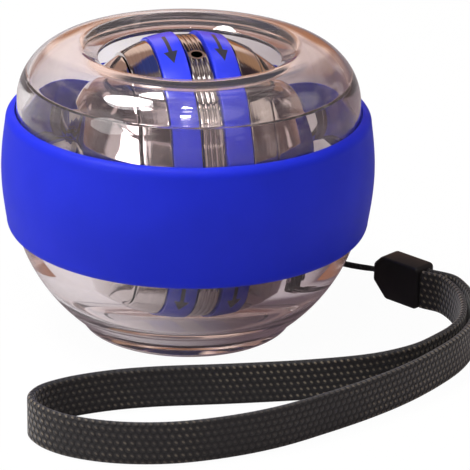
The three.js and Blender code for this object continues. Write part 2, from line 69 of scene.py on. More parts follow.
def length(name, description, size):
    """A size in millimetres, held as Blender's length."""
    return FloatProperty(name=name, description=description, default=size * MM, unit="LENGTH", precision=5)


def angle(name, description, degrees):
    return FloatProperty(name=name, description=description, default=math.radians(degrees), unit="ROTATION")


def colour(name, description, value):
    return FloatVectorProperty(
        name=name, description=description, default=value, subtype="COLOR", min=0, max=1)


class CasingSizes(bpy.types.PropertyGroup):
    track_height: FloatProperty(
        name="Track height", description="Middle of the axle's track over the table",
        default=(axle_low[2] + axle_high[2]) / 2, unit="LENGTH", precision=5)
    crest_height: length("Crest height", "Top of the rolled lip", 55.9)
    sphere_radius: length("Casing radius", "Outside of the lower casing", 34.4)
    sphere_height: length("Casing centre", "Middle of the lower casing's sphere", 28.6)
    shoulder_reach: length("Shoulder reach", "Casing radius where the shoulder starts", 32.9)
    shoulder_radius: length("Shoulder round", "Outer round from the wall to the crest", 11)
    shoulder_wall: length("Shoulder wall", "Thickness of the shoulder", 2)
    lip_radius: length("Lip", "Round from the crest into the thumb opening", 2.6)
    lip_drop: length("Lip drop", "From the crest down to the middle of the lip's end", 2.6)
    lip_end: length("Lip end", "Round of the lip's end", 0.5)
    opening_radius: length("Thumb opening", "Radius of the opening", 17.4)
    step_drop: length("Inner step", "From the crest down to the inner step", 6.5)
    step_inset: length("Step inset", "From the shoulder's reach in to the foot of the step", 2.5)
    track_radius: length("Track radius", "Bottom of the track's groove", 32)
    ledge_radius: length("Ledge radius", "Inner edge of the track's ledges", 28.7)
    ledge_thickness: length("Ledge thickness", "Thickness of the upper ledge", 2)
    seam_tongue: length("Seam tongue", "Height of the tongue between the two halves", 1.5)
    foot_radius: length("Foot radius", "Radius that the ball stands on", 20.67)
    foot_flare: length("Foot flare", "How far the foot widens upwards", 1.8)
    foot_height: length("Foot height", "Height of the foot", 3)
    floor_thickness: length("Floor", "Plastic under the rotor", 4.2)
    floor_round: length("Floor round", "Round between the bore and the floor", 12)
    recess_radius: length("Base recess", "Shallow recess under the foot", 15.67)
    recess_depth: length("Recess depth", "Depth of that recess", 0.6)
    string_hole: length("String hole", "Radius of the two holes for the string", 1.1)


class BandSizes(bpy.types.PropertyGroup):
    top: length("Band top", "Upper edge over the table", 43.2)
    bottom: length("Band bottom", "Lower edge over the table", 19.8)
    reach: length("Band reach", "Outer radius at its fullest", 36)
    edge_reach: length("Edge reach", "Outer radius beside the rounded edges", 35.1)
    edge_round: length("Edge round", "Height of the rounded edges", 2)


class RotorSizes(bpy.types.PropertyGroup):
    rim_radius: length("Wheel radius", "Bright metal of the wheels", 25.6)
    stripe_radius: length("Stripe radius", "Raised blue rings", 26)
    middle_radius: length("Middle ring radius", "Metal ring between the stripes", 25.3)
    cap_radius: length("Side cap radius", "Spheric side caps", 25.3)
    middle_half: length("Middle ring half width", "From the middle to the stripes", 2.1)
    stripe_width: length("Stripe width", "Width of a blue ring", 5.2)
    stripe_seat: length("Stripe seat", "Radius under the blue rings", 23.4)
    middle_seat: length("Middle seat", "Radius under the middle ring", 20.3)
    wheel_half: length("Wheel half width", "From the middle to the side caps", 12.4)
    cap_half: length("Cap half width", "From the middle to the hub's face", 21.6)
    axle_radius: length("Axle radius", "Radius of the axle", 1.5)
    hole_radius: length("Starter hole", "Hole for a starting cord", 1.1)
    hole_angle: angle("Starter hole angle", "From the top towards the front", 15)
    hole_rim: length("Starter hole rim", "Flat rim round the hole", 0.45)
    hub_radius: length("Hub boss", "Raised boss round the bearing", 6)
    hub_recess: length("Hub recess", "Depth of the recess in the boss", 1.2)
    groove_depth: length("Groove depth", "Fine grooves round the middle ring", 0.4)
    groove_width: length("Groove width", "Width of each groove", 0.5)
    groove_count: IntProperty(name="Grooves", description="Grooves round the middle ring", default=3)
    cavity_depth: length("Cavity depth", "Room for the starter in the left cap", 5.6)
    cavity_radius: length("Cavity radius", "Radius of that room", 15.2)
    tip_round: length("Axle tip", "Round of the axle's tips", 0.5)


class CarrierSizes(bpy.types.PropertyGroup):
    ring_half: length("Ring half height", "From the axle's middle to the ring's face", 1.3)
    ring_inset: length("Ring inset", "From the ledge's edge in to the ring's inside", 1.9)
    ring_play: length("Ring play", "From the ring's outside to the track's bottom", 0.6)
    block_gap: length("Block gap", "From a side cap's hub to its bearing block", 0.6)
    block_reach: length("Block reach", "Outer end of the bearing blocks", 27.9)
    block_width: length("Block width", "Across the axle", 10)
    block_height: length("Block height", "Upright", 9)
    block_round: length("Block round", "Round of the blocks' edges", 0.5)
    arbor_radius: length("Arbor radius", "Outside of the spring's arbor", 2.7)
    arbor_end: length("Arbor end", "Its end in the left block", 26.4)
    arbor_start: length("Arbor start", "Its end beside the left wheel", 12.95)
    bush_radius: length("Bush radius", "Outside of the axle's bush", 3)
    flange_radius: length("Flange radius", "Outside of the bush's flange", 3.7)
    flange_thickness: length("Flange", "Thickness of that flange", 0.8)


class LanyardSizes(bpy.types.PropertyGroup):
    turn: angle("Turn", "Turn of the lanyard's layout about the upright axis", -13)
    strap_width: length("Strap width", "Width of the webbing", 8)
    strap_thickness: length("Strap thickness", "Thickness of the webbing", 1.3)
    string_radius: length("String radius", "Radius of the thin cord", 0.55)
    clasp_length: length("Clasp length", "Length along the strap", 11.4)
    clasp_height: length("Clasp height", "Height of the clasp", 8.8)
    clasp_thickness: length("Clasp thickness", "Thickness of the clasp", 5.4)
    clasp_top_cut: length("Upper nose cut", "Corner cut off the nose's top", 1.9)
    clasp_low_cut: length("Lower nose cut", "Corner cut off the nose's underside", 3.3)
    clasp_bevel: length("Clasp bevel", "Round along its edges", 0.6)
    clasp_turn: angle("Clasp turn", "Turn about the upright axis", -43)
    clasp_x: length("Clasp place", "Along the front", 43.2)
    clasp_y: length("Clasp depth", "Away from the front", 10.3)


class FinishColours(bpy.types.PropertyGroup):
    plastic: colour("Clear plastic", "Casing", (0.93, 0.875, 0.885))
    silicone: colour("Silicone", "Grip band", (0.012, 0.026, 0.62))
    stripe: colour("Stripe", "Blue rings", (0.03, 0.05, 0.78))
    arrow: colour("Arrow", "Direction marks", (0.022, 0.024, 0.04))
    bright: colour("Bright metal", "Wheels, caps and middle ring", (0.74, 0.70, 0.67))
    steel: colour("Steel", "Axle, pins and starter", (0.52, 0.52, 0.54))
    brass: colour("Brass", "Bush", (0.62, 0.42, 0.16))
    nylon: colour("Nylon", "Carrier ring", (0.72, 0.70, 0.66))
    black: colour("Black plastic", "Clasp", (0.004, 0.0035, 0.0042))
    yarn: colour("Yarn", "Webbing", (0.0062, 0.0055, 0.0062))
    # The fleck colour is a painted highlight: pale glints between the yarns of the webbing.
    fleck: colour("Fleck", "Pale flecks of the webbing", (0.17, 0.14, 0.10))


class StudioSettings(bpy.types.PropertyGroup):
    distance: length("Camera distance", "From the camera to its target", 500)
    elevation: angle("Elevation", "Camera's height angle", 21.6478)
    roll: angle("Roll", "Camera's roll", 1.14646)
    lens: FloatProperty(name="Lens", description="Focal length", default=196.2035, unit="CAMERA")
    fill: FloatProperty(name="Fill", description="Strength of the room round the ball", default=1.0)
    key_power: FloatProperty(
        name="Key light", description="Soft box high on the left", default=8.0, unit="POWER")


def sizes(name):
    return getattr(bpy.context.scene, "wristball_" + name)


# Node shorthand

def math_node(operation, swapped=False):
    """A method that adds one Math node."""
    def method(self, *others):
        terms = (*others, self) if swapped else (self, *others)
        return self.nodes.add("ShaderNodeMath", {"operation": operation}, dict(enumerate(terms)))
    return method


class Value:
    """A node's output that takes part in sums."""

    def __init__(self, nodes, socket):
        self.nodes = nodes
        self.socket = socket

    __add__ = __radd__ = math_node("ADD")
    __sub__ = math_node("SUBTRACT")
    __rsub__ = math_node("SUBTRACT", swapped=True)
    __mul__ = __rmul__ = math_node("MULTIPLY")
    __truediv__ = math_node("DIVIDE")
    __mod__ = math_node("FLOORED_MODULO")
    __lt__ = math_node("LESS_THAN")
    __gt__ = math_node("GREATER_THAN")
    __abs__ = math_node("ABSOLUTE")
    sine = math_node("SINE")
    floor = math_node("FLOOR")
    least = math_node("MINIMUM")
    most = math_node("MAXIMUM")
    turn_from = math_node("ARCTAN2")

    def clamped(self):
        return self.least(1.0).most(0.0)


class Nodes:
    """Adds nodes to a tree."""

    def __init__(self, tree):
        self.tree = tree
        tree.nodes.clear()

    def add(self, kind, settings=None, inputs=None, output=0):
        node = self.tree.nodes.new(kind)
        for key, value in (settings or {}).items():
            if key == "stops":
                self.set_stops(node.color_ramp, value)
            else:
                setattr(node, key, value)
        for key, value in (inputs or {}).items():
            if isinstance(value, Value):
                self.tree.links.new(value.socket, node.inputs[key])
            else:
                node.inputs[key].default_value = value
        return Value(self, node.outputs[output])

    @staticmethod
    def set_stops(ramp, stops):
        while len(ramp.elements) < len(stops):
            ramp.elements.new(1.0)
        for element, (place, tone) in zip(ramp.elements, stops):
            element.position = place
            element.color = (*tone, 1.0)

    def blend(self, share, first, second):
        """Two colours mixed by a share."""
        inputs = {0: share, 6: opaque(first), 7: opaque(second)}
        return self.add("ShaderNodeMix", {"data_type": "RGBA"}, inputs, 2)

    def parts(self, vector):
        return [self.add("ShaderNodeSeparateXYZ", {}, {0: vector}, place) for place in range(3)]

    def place(self):
        return self.add("ShaderNodeTexCoord", output="Object")

    def measured(self, operation, first, second):
        """A number worked out from two vectors."""
        return self.add("ShaderNodeVectorMath", {"operation": operation}, {0: first, 1: second}, "Value")

    def joined(self, x, y, z):
        return self.add("ShaderNodeCombineXYZ", {}, {0: x, 1: y, 2: z})

    def noise(self, place, scale, detail=2.0, roughness=0.5):
        inputs = {"Vector": place, "Scale": scale, "Detail": detail, "Roughness": roughness}
        return self.add("ShaderNodeTexNoise", {}, inputs)

    def bump(self, height, depth, strength=1.0):
        return self.add("ShaderNodeBump", {}, {"Height": height, "Distance": depth, "Strength": strength})

    def light_path(self, kind):
        return self.add("ShaderNodeLightPath", output="Is %s Ray" % kind)

    def mixed(self, share, first, second):
        """Two shaders mixed by a share."""
        return self.add("ShaderNodeMixShader", {}, {0: share, 1: first, 2: second})

    def glow(self, kind, tone):
        """A plain light: an emission, or the background of a world."""
        return self.add(kind, {}, {"Color": opaque(tone), "Strength": 1.0})

    def show(self, shader, output="ShaderNodeOutputMaterial"):
        node = self.tree.nodes.new(output)
        self.tree.links.new(shader.socket, node.inputs["Surface"])


def opaque(tone):
    return tone if isinstance(tone, Value) else (*tone, 1.0)


class Finish(Nodes):
    """One material, made once."""

    made = {}

    def __init__(self, name):
        self.material = bpy.data.materials.new(name)
        self.material.use_nodes = True
        super().__init__(self.material.node_tree)

    def surface(self, light_let_by=0.0, **inputs):
        """A plain surface; clear plastic also lets lamp light by, so that what it holds is lit."""
        named = {key.replace("_", " "): value for key, value in inputs.items()}
        named["Base Color"] = opaque(named["Base Color"])
        shader = self.add("ShaderNodeBsdfPrincipled", {}, named)
        if light_let_by:
            passed = tuple(light_let_by * tone for tone in inputs["Base_Color"])
            clear = self.add("ShaderNodeBsdfTransparent", {}, {"Color": opaque(passed)})
            shader = self.mixed(self.light_path("Shadow"), shader, clear)
        self.show(shader)
        return self.material


def finish(maker):
    """The material that a maker gives, made the first time it is asked for."""
    if maker.__name__ not in Finish.made:
        Finish.made[maker.__name__] = maker(Finish(maker.__name__))
    return Finish.made[maker.__name__]


def tones(name, depth):
    """A finish's colour and a darker shade of it."""
    base = tuple(getattr(sizes("colours"), name))
    return base, tuple(depth * tone for tone in base)


def clear_plastic(nodes):
    """Injection moulded clear plastic with a faint flow ripple."""
    place = nodes.place()
    ripple = nodes.noise(place, 70.0, 1.0)
    haze = nodes.noise(place, 420.0, 3.0)
    return nodes.surface(
        Base_Color=sizes("colours").plastic, Roughness=0.012 + 0.02 * (haze > 0.62),
        Transmission_Weight=0.975, IOR=1.49, Normal=nodes.bump(ripple, 0.012 * MM), light_let_by=0.42)


def silicone(nodes):
    """Soft matt rubber with a fine grain."""
    place = nodes.place()
    grain = nodes.noise(place, 5200.0, 2.0)
    cloud = nodes.noise(place, 110.0, 3.0)
    return nodes.surface(
        Base_Color=nodes.blend(cloud, *tones("silicone", 0.84)), Roughness=0.42 + 0.16 * cloud,
        Specular_IOR_Level=0.13, Subsurface_Weight=0.35, Subsurface_Scale=1.4 * MM,
        Subsurface_Radius=(0.3, 0.35, 1.0), Normal=nodes.bump(grain, 0.012 * MM, 0.6))


def turned_lines(nodes, place, pitch):
    """Fine tool lines that run round the rotor's axle."""
    across = nodes.parts(place)[0]
    return nodes.noise(nodes.joined(across, 0.0, 0.0), 1 / pitch, 3.0, 0.7)


def bright_metal(nodes):
    """Polished plated metal with faint turned lines and a few rubs."""
    place = nodes.place()
    lines = turned_lines(nodes, place, 0.35 * MM)
    rub = nodes.noise(place, 260.0, 5.0, 0.65)
    return nodes.surface(
        Base_Color=nodes.blend(rub, *tones("bright", 0.8)), Metallic=1.0,
        Roughness=0.02 + 0.07 * lines * rub, Normal=nodes.bump(lines, 0.0035 * MM))


def brushed_metal(nodes):
    """The rims: bright metal left with brushed lines round it."""
    place = nodes.place()
    lines = turned_lines(nodes, place, 0.45 * MM)
    rub = nodes.noise(place, 300.0, 4.0, 0.6)
    base, dull = tones("bright", 0.62)
    return nodes.surface(
        Base_Color=nodes.blend(lines, dull, base), Metallic=1.0,
        Roughness=0.035 + 0.12 * lines * rub, Normal=nodes.bump(lines, 0.03 * MM))


def arrow_mask(nodes, place):
    """One where a direction arrow is printed on a stripe: three arrows round each."""
    shaft_length, shaft_half, head_start, tip = (size * MM for size in (8.2, 0.36, 7.8, 11.8))
    before_top, head_slope, arrows = 2.1 * MM, 0.33, 3
    rotor = sizes("rotor")
    x, y, z = nodes.parts(place)
    radius = rotor.stripe_radius
    round_way = (0.0 - y).turn_from(z - sizes("casing").track_height) * radius
    pitch = FULL_TURN * radius / arrows
    along = (round_way + pitch + before_top) % pitch
    middle = rotor.middle_half + SEAT_GAP / 2 + rotor.stripe_width / 2
    aside = abs(abs(x) - middle)
    shaft = (along < shaft_length) * (aside < shaft_half)
    to_tip = tip - along
    head = (along > head_start) * (to_tip > 0.0) * (aside < to_tip * head_slope)
    return shaft.most(head)


def stripe_plastic(nodes):
    """Glossy blue plastic with dark printed arrows."""
    place = nodes.place()
    rub = nodes.noise(place, 600.0, 4.0, 0.6)
    mark = arrow_mask(nodes, place)
    return nodes.surface(
        Base_Color=nodes.blend(mark, nodes.blend(rub, *tones("stripe", 0.85)), sizes("colours").arrow),
        Roughness=0.14 + 0.12 * rub + 0.1 * mark, Normal=nodes.bump(rub - 0.4 * mark, 0.006 * MM))


def machined(nodes, name, depth, pitch, rub_scale, sheen, line_depth):
    """Turned metal, duller where it is rubbed less."""
    place = nodes.place()
    lines = turned_lines(nodes, place, pitch)
    rub = nodes.noise(place, rub_scale, 4.0)
    base, dull = tones(name, depth)
    polish, wear = sheen
    return nodes.surface(
        Base_Color=nodes.blend(rub, dull, base), Metallic=1.0, Roughness=polish + wear * rub,
        Normal=nodes.bump(lines, line_depth))


def steel(nodes):
    return machined(nodes, "steel", 0.7, 0.15 * MM, 700.0, (0.2, 0.15), 0.004 * MM)


def brass(nodes):
    return machined(nodes, "brass", 0.72, 0.2 * MM, 500.0, (0.22, 0.12), 0.005 * MM)


def nylon(nodes):
    """Slightly waxy moulded nylon."""
    place = nodes.place()
    grain = nodes.noise(place, 3200.0, 2.0)
    cloud = nodes.noise(place, 160.0, 3.0)
    return nodes.surface(
        Base_Color=nodes.blend(cloud, *tones("nylon", 0.86)), Roughness=0.3 + 0.15 * cloud,
        Normal=nodes.bump(grain, 0.006 * MM))


def black_plastic(nodes):
    """Moulded black plastic with a fine spark-eroded grain and rubbed high spots."""
    place = nodes.place()
    grain = nodes.noise(place, 3800.0, 3.0, 0.6)
    rub = nodes.noise(place, 190.0, 4.0, 0.6)
    base = sizes("colours").black
    rubbed = tuple(tone + 0.005 for tone in base)
    return nodes.surface(
        Base_Color=nodes.blend(rub, base, rubbed), Roughness=0.42 + 0.2 * rub, Specular_IOR_Level=0.3,
        Normal=nodes.bump(grain, 0.02 * MM, 0.7))


def webbing(nodes):
    """Flat braid: staggered yarn crossings with small pale flecks between them, painted highlights that stand
    for light glinting between the yarns.
    """
    across, along, _ = nodes.parts(nodes.add("ShaderNodeUVMap", {"uv_map": "WovenLength"}))
    pitch = 1.25 * MM
    row = (across / pitch).floor()
    step = along / pitch + 0.5 * (row % 2.0)
    u = across / pitch - row - 0.5
    v = step - step.floor() - 0.5
    slant, across_fade, along_fade, core = 0.45, 34.0, 22.0, 0.55
    skew = u + slant * v
    crossing = 1.0 - (4.0 * (u * u + v * v)).least(1.0)
    fleck = 1.0 - (skew * skew * across_fade + v * v * along_fade - core).clamped()
    place = nodes.place()
    patch = ((nodes.noise(place, 62.0, 2.0) - 0.42) * 5.0).clamped()
    fibre = nodes.noise(nodes.joined(across, along * 0.35, 0.0), 9000.0, 3.0, 0.7)
    base = sizes("colours").yarn
    lifted = (base[0] + 0.022, base[1] + 0.018, base[2] + 0.018)
    body = nodes.blend(fibre * crossing, base, lifted)
    # Painted shade: the pale flecks fade round a spot on the strap's front run, which lies in shade.
    shaded_spot = tuple(lanyard_turn() @ Vector((18 * MM, -62 * MM, 4 * MM)))
    shade_radius, fade = 11 * MM, 12 * MM
    away = nodes.measured("DISTANCE", place, shaded_spot)
    out_of_shade = 0.15 + 0.85 * ((away - shade_radius) / fade).clamped()
    return nodes.surface(
        Base_Color=nodes.blend(fleck * out_of_shade * (0.2 + 0.8 * patch), body, sizes("colours").fleck),
        Roughness=0.62 + 0.25 * fibre, Sheen_Weight=0.25, Sheen_Roughness=0.4,
        Normal=nodes.bump(crossing + 0.35 * fibre, 0.16 * MM))


def string_yarn(nodes):
    """Twisted cord: slanting strands round a thin core."""
    around, along, _ = nodes.parts(nodes.add("ShaderNodeUVMap", {"uv_map": "WovenLength"}))
    strand_pitch, strands = 0.9 * MM, 2.0
    lay = along / strand_pitch + around / (FULL_TURN * sizes("lanyard").string_radius) * strands
    strand = abs((lay * math.pi).sine())
    fibre = nodes.noise(nodes.joined(around, along, 0.0), 12000.0, 2.0)
    base = sizes("colours").yarn
    lifted = tuple(tone + 0.012 for tone in base)
    return nodes.surface(
        Base_Color=nodes.blend(strand * fibre, base, lifted), Roughness=0.6 + 0.2 * fibre,
        Normal=nodes.bump(strand + 0.3 * fibre, 0.14 * MM))


# Mesh shorthand

def arc(centre, radius, start, end, steps):
    """Points of an arc, from one angle to another."""
    middle_r, middle_z = centre
    points = []
    for i in range(steps + 1):
        turn = start + (end - start) * i / steps
        points.append((middle_r + radius * math.cos(turn), middle_z + radius * math.sin(turn)))
    return points


def sphere_run(radius, start, end, steps, middle=0.0):
    """Points of a spheric surface between two heights from its centre."""
    return arc((0.0, middle), radius, math.asin(start / radius), math.asin(end / radius), steps)


def linked(name, bm):
    """A new object in the scene, with the mesh that was modelled."""
    mesh = bpy.data.meshes.new(name)
    bm.to_mesh(mesh)
    bm.free()
    piece = bpy.data.objects.new(name, mesh)
    bpy.context.collection.objects.link(piece)
    return piece


def finished(name, bm, body, maker, node):
    """A modelled mesh, smooth but for its creases, becomes a piece that rides a body."""
    bm.normal_update()
    for face in bm.faces:
        face.smooth = True
    for edge in bm.edges:
        edge.smooth = edge.is_manifold and edge.calc_face_angle(0.0) < SHARP
    piece = linked(name, bm)
    piece.data.materials.append(finish(maker))
    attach(piece, body)
    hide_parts(node)
    return piece


def soften(bm, size, segments=2, least=SHARP):
    """Rounds every edge at which two faces meet at an angle."""
    edges = [edge for edge in bm.edges if edge.is_manifold and edge.calc_face_angle(0.0) > least]
    bmesh.ops.bevel(
        bm, geom=edges, offset=size, offset_type="OFFSET", segments=segments, profile=0.5,
        affect="EDGES", clamp_overlap=True, material=-1)


def spun(outline, axis, round_size=0.0, height=0.0, steps=ROUND_STEPS):
    """A closed outline of (radius, place along the axis) turned round the X or Z axis."""
    bm = bmesh.new()
    if axis == "Z":
        corners = [bm.verts.new((r, 0.0, place)) for r, place in outline]
        way = (0, 0, 1)
    else:
        corners = [bm.verts.new((place, 0.0, r)) for r, place in outline]
        way = (1, 0, 0)
    open_ends = outline[0][0] < WELD and outline[-1][0] < WELD
    pairs = list(zip(corners, corners[1:]))
    if not open_ends:
        pairs.append((corners[-1], corners[0]))
    edges = [bm.edges.new(pair) for pair in pairs]
    bmesh.ops.spin(
        bm, geom=corners + edges, cent=(0, 0, 0), axis=way, dvec=(0, 0, 0),
        angle=FULL_TURN, steps=steps, use_merge=True, use_duplicate=False)
    bmesh.ops.remove_doubles(bm, verts=bm.verts, dist=WELD)
    bmesh.ops.recalc_face_normals(bm, faces=bm.faces)
    if round_size:
        soften(bm, round_size)
    bmesh.ops.translate(bm, verts=bm.verts, vec=(0, 0, height))
    return bm


def box(middle, size):
    """A block of a size round its middle."""
    bm = bmesh.new()
    place = Matrix.Translation(middle) @ Matrix.Diagonal((*size, 1))
    bmesh.ops.create_cube(bm, size=1.0, matrix=place)
    return bm


def combined(bm, tools, operation):
    """A mesh with other meshes cut out of it or joined to it."""
    body = linked("tool", bm)
    cutters = [linked("tool", tool) for tool in tools]
    for cutter in cutters:
        modifier = body.modifiers.new("bore", "BOOLEAN")
        modifier.operation = operation
        modifier.object = cutter
        modifier.solver = "EXACT"
    graph = bpy.context.evaluated_depsgraph_get()
    mesh = bpy.data.meshes.new_from_object(body.evaluated_get(graph))
    for tool in [body, *cutters]:
        bpy.data.objects.remove(tool)
    result = bmesh.new()
    result.from_mesh(mesh)
    bpy.data.meshes.remove(mesh)
    return result


def rod(radius, start, end, segments=48):
    """A round bar between two points."""
    bm = bmesh.new()
    along = end - start
    turn = along.to_track_quat("Z", "Y").to_matrix().to_4x4()
    bmesh.ops.create_cone(
        bm, cap_ends=True, segments=segments, radius1=radius, radius2=radius, depth=along.length,
        matrix=Matrix.Translation((start + end) / 2) @ turn)
    return bm


def smooth_line(points, spacing):
    """A centripetal spline through the points, at even steps."""
    ends = [points[0] * 2 - points[1], *points, points[-1] * 2 - points[-2]]
    fine = []
    parts = 20
    for a, b, c, d in zip(ends, ends[1:], ends[2:], ends[3:]):
        knots = [0.0]
        for p, q in ((a, b), (b, c), (c, d)):
            knots.append(knots[-1] + (q - p).length ** 0.5)
        for i in range(parts):
            t = knots[1] + (knots[2] - knots[1]) * i / parts
            fine.append(spline_point((a, b, c, d), knots, t))
    fine.append(points[-1])
    total = sum((q - p).length for p, q in zip(fine, fine[1:]))
    count = max(2, round(total / spacing))
    line = [fine[0]]
    walked = 0.0
    for p, q in zip(fine, fine[1:]):
        stretch = (q - p).length
        while stretch > 0 and len(line) < count and walked + stretch >= total * len(line) / count:
            line.append(p.lerp(q, (total * len(line) / count - walked) / stretch))
        walked += stretch
    line.append(fine[-1])
    return line, total


def spline_point(rows, knots, t):
    """A point of the spline: three levels of blends between four points."""
    for spans in (((0, 1), (1, 2), (2, 3)), ((0, 2), (1, 3)), ((1, 2),)):
        rows = [
            rows[i].lerp(rows[i + 1], (t - knots[low]) / (knots[high] - knots[low]))
            for i, (low, high) in enumerate(spans)]
    return rows[0]


def swept(line, frames, section):
    """A tube of one section along a line, with its lengths in metres as a UV map."""
    bm = bmesh.new()
    rings = []
    edges = []
    for i, (point, (side, up)) in enumerate(zip(line, frames)):
        places = [point + side * x + up * y for x, y in section]
        if i == 0:
            ring = [bm.verts.new(place) for place in places]
            edges = [bm.edges.new(pair) for pair in zip(ring, ring[1:] + ring[:1])]
        else:
            grown = bmesh.ops.extrude_edge_only(bm, edges=edges)["geom"]
            fresh = {item for item in grown if isinstance(item, bmesh.types.BMVert)}
            edges = [
                item for item in grown
                if isinstance(item, bmesh.types.BMEdge) and fresh.issuperset(item.verts)]
            ring = [min(fresh, key=lambda vert, old=old: (old.co - vert.co).length) for old in rings[-1]]
            for vert, place in zip(ring, places):
                vert.co = place
        rings.append(ring)
    order = {vert: (i, k) for i, ring in enumerate(rings) for k, vert in enumerate(ring)}
    around = [0.0]
    for (x1, y1), (x2, y2) in zip(section, section[1:] + section[:1]):
        around.append(around[-1] + math.hypot(x2 - x1, y2 - y1))
    along = [0.0]
    for p, q in zip(line, line[1:]):
        along.append(along[-1] + (q - p).length)
    layer = bm.loops.layers.uv.new("WovenLength")
    for face in bm.faces:
        ks = [order[loop.vert][1] for loop in face.loops]
        wraps = max(ks) - min(ks) > 1
        for loop in face.loops:
            i, k = order[loop.vert]
            k = len(section) if wraps and k == 0 else k
            loop[layer].uv = (around[k], along[i])
    for ring in (rings[0], rings[-1]):
        bm.faces.new(ring)
    bmesh.ops.recalc_face_normals(bm, faces=bm.faces)

    def place_of(face):
        """Along the line first, then round it, so that each run lays the faces in the same order."""
        rows, columns = zip(*(order[vert] for vert in face.verts))
        wraps = max(columns) - min(columns) > 1
        column = len(section) - 1 if wraps else min(columns)
        return (min(rows) + max(rows)) * len(section) + column

    bm.faces.sort(key=place_of)
    return bm


# Operators

class WRISTBALL_OT_camera(bpy.types.Operator):
    """Places the camera as the photograph was taken"""
    bl_idname = "wristball.camera"
    bl_label = "Camera"

    def execute(self, context):
        studio = sizes("studio")
        yaw = lanyard_turn()
        tilt = Matrix.Rotation(math.pi / 2 - studio.elevation, 3, "X")
        axes = yaw @ tilt @ Matrix.Rotation(studio.roll, 3, "Z")
        target = yaw @ (Vector((9.308, 0, 17.17)) * MM)
        place = target + axes.col[2] * studio.distance
        data = bpy.data.cameras.new("camera")
        data.lens = studio.lens
        data.sensor_width = 36
        data.sensor_fit = "HORIZONTAL"
        data.clip_start = 0.01
        camera = bpy.data.objects.new("camera", data)
        camera.matrix_world = Matrix.Translation(place) @ axes.to_4x4()
        context.collection.objects.link(camera)
        context.scene.camera = camera
        return {"FINISHED"}


# Routes of the webbing and the string in millimetres, before the lanyard's turn
STRAP_ROUTE = [
    (50.2, 3.7), (51.8, 1.0), (53.0, -2.6), (53.6, -7.0), (53.5, -12.1),
    (52.5, -16.9), (50.2, -21.5), (47.2, -25.5), (44.0, -29.1), (40.0, -32.1),
    (34.4, -34.9), (23.5, -37.9), (9.8, -40.3), (-5.6, -42.5), (-13.5, -44.6),
    (-20.7, -47.9), (-25.0, -51.5), (-26.2, -55.2), (-24.4, -59.0), (-20.2, -62.5),
    (-14.1, -64.8), (-7.1, -65.6), (0.7, -64.8), (10.0, -61.8), (18.1, -57.7),
    (26.1, -52.0), (34.2, -45.5), (41.2, -38.8), (47.2, -31.6), (51.9, -24.5),
    (54.7, -17.6), (55.8, -11.4), (55.7, -5.6), (54.7, -0.4), (52.7, 4.0)]
STRING_ROUTE = [
    (38.4, 14.0, 4.6), (37.1, 15.1, 4.5), (34.3, 15.9, 4.6), (31.1, 15.5, 5.4),
    (27.6, 14.8, 6.9), (24.9, 14.8, 8.4), (22.4, 15.3, 9.6), (20.3, 15.6, 10.7),
    (18.9, 16.8, 11.3), (18.7, 18.0, 10.9), (19.9, 18.9, 9.4), (21.6, 18.5, 8.2),
    (24.4, 17.8, 6.8), (28.2, 17.5, 5.3), (32.3, 17.5, 4.2), (35.8, 16.8, 3.9),
    (38.0, 15.8, 4.1), (39.2, 14.9, 4.2)]
STRING_BORES = ((5, 6), (11, 10))


def lanyard_turn():
    return Matrix.Rotation(sizes("lanyard").turn, 3, "Z")


def string_points():
    turn = lanyard_turn()
    return [turn @ (Vector(point) * MM) for point in STRING_ROUTE]


def strap_middle():
    """Height of the webbing's middle, just clear of the table."""
    return sizes("lanyard").strap_width / 2 + 0.02 * MM


def clasp_place():
    """From the clasp's own axes to the model's."""
    s = sizes("lanyard")
    return (Matrix.Rotation(s.turn, 4, "Z") @ Matrix.Translation((s.clasp_x, s.clasp_y, 0))
            @ Matrix.Rotation(s.clasp_turn, 4, "Z"))


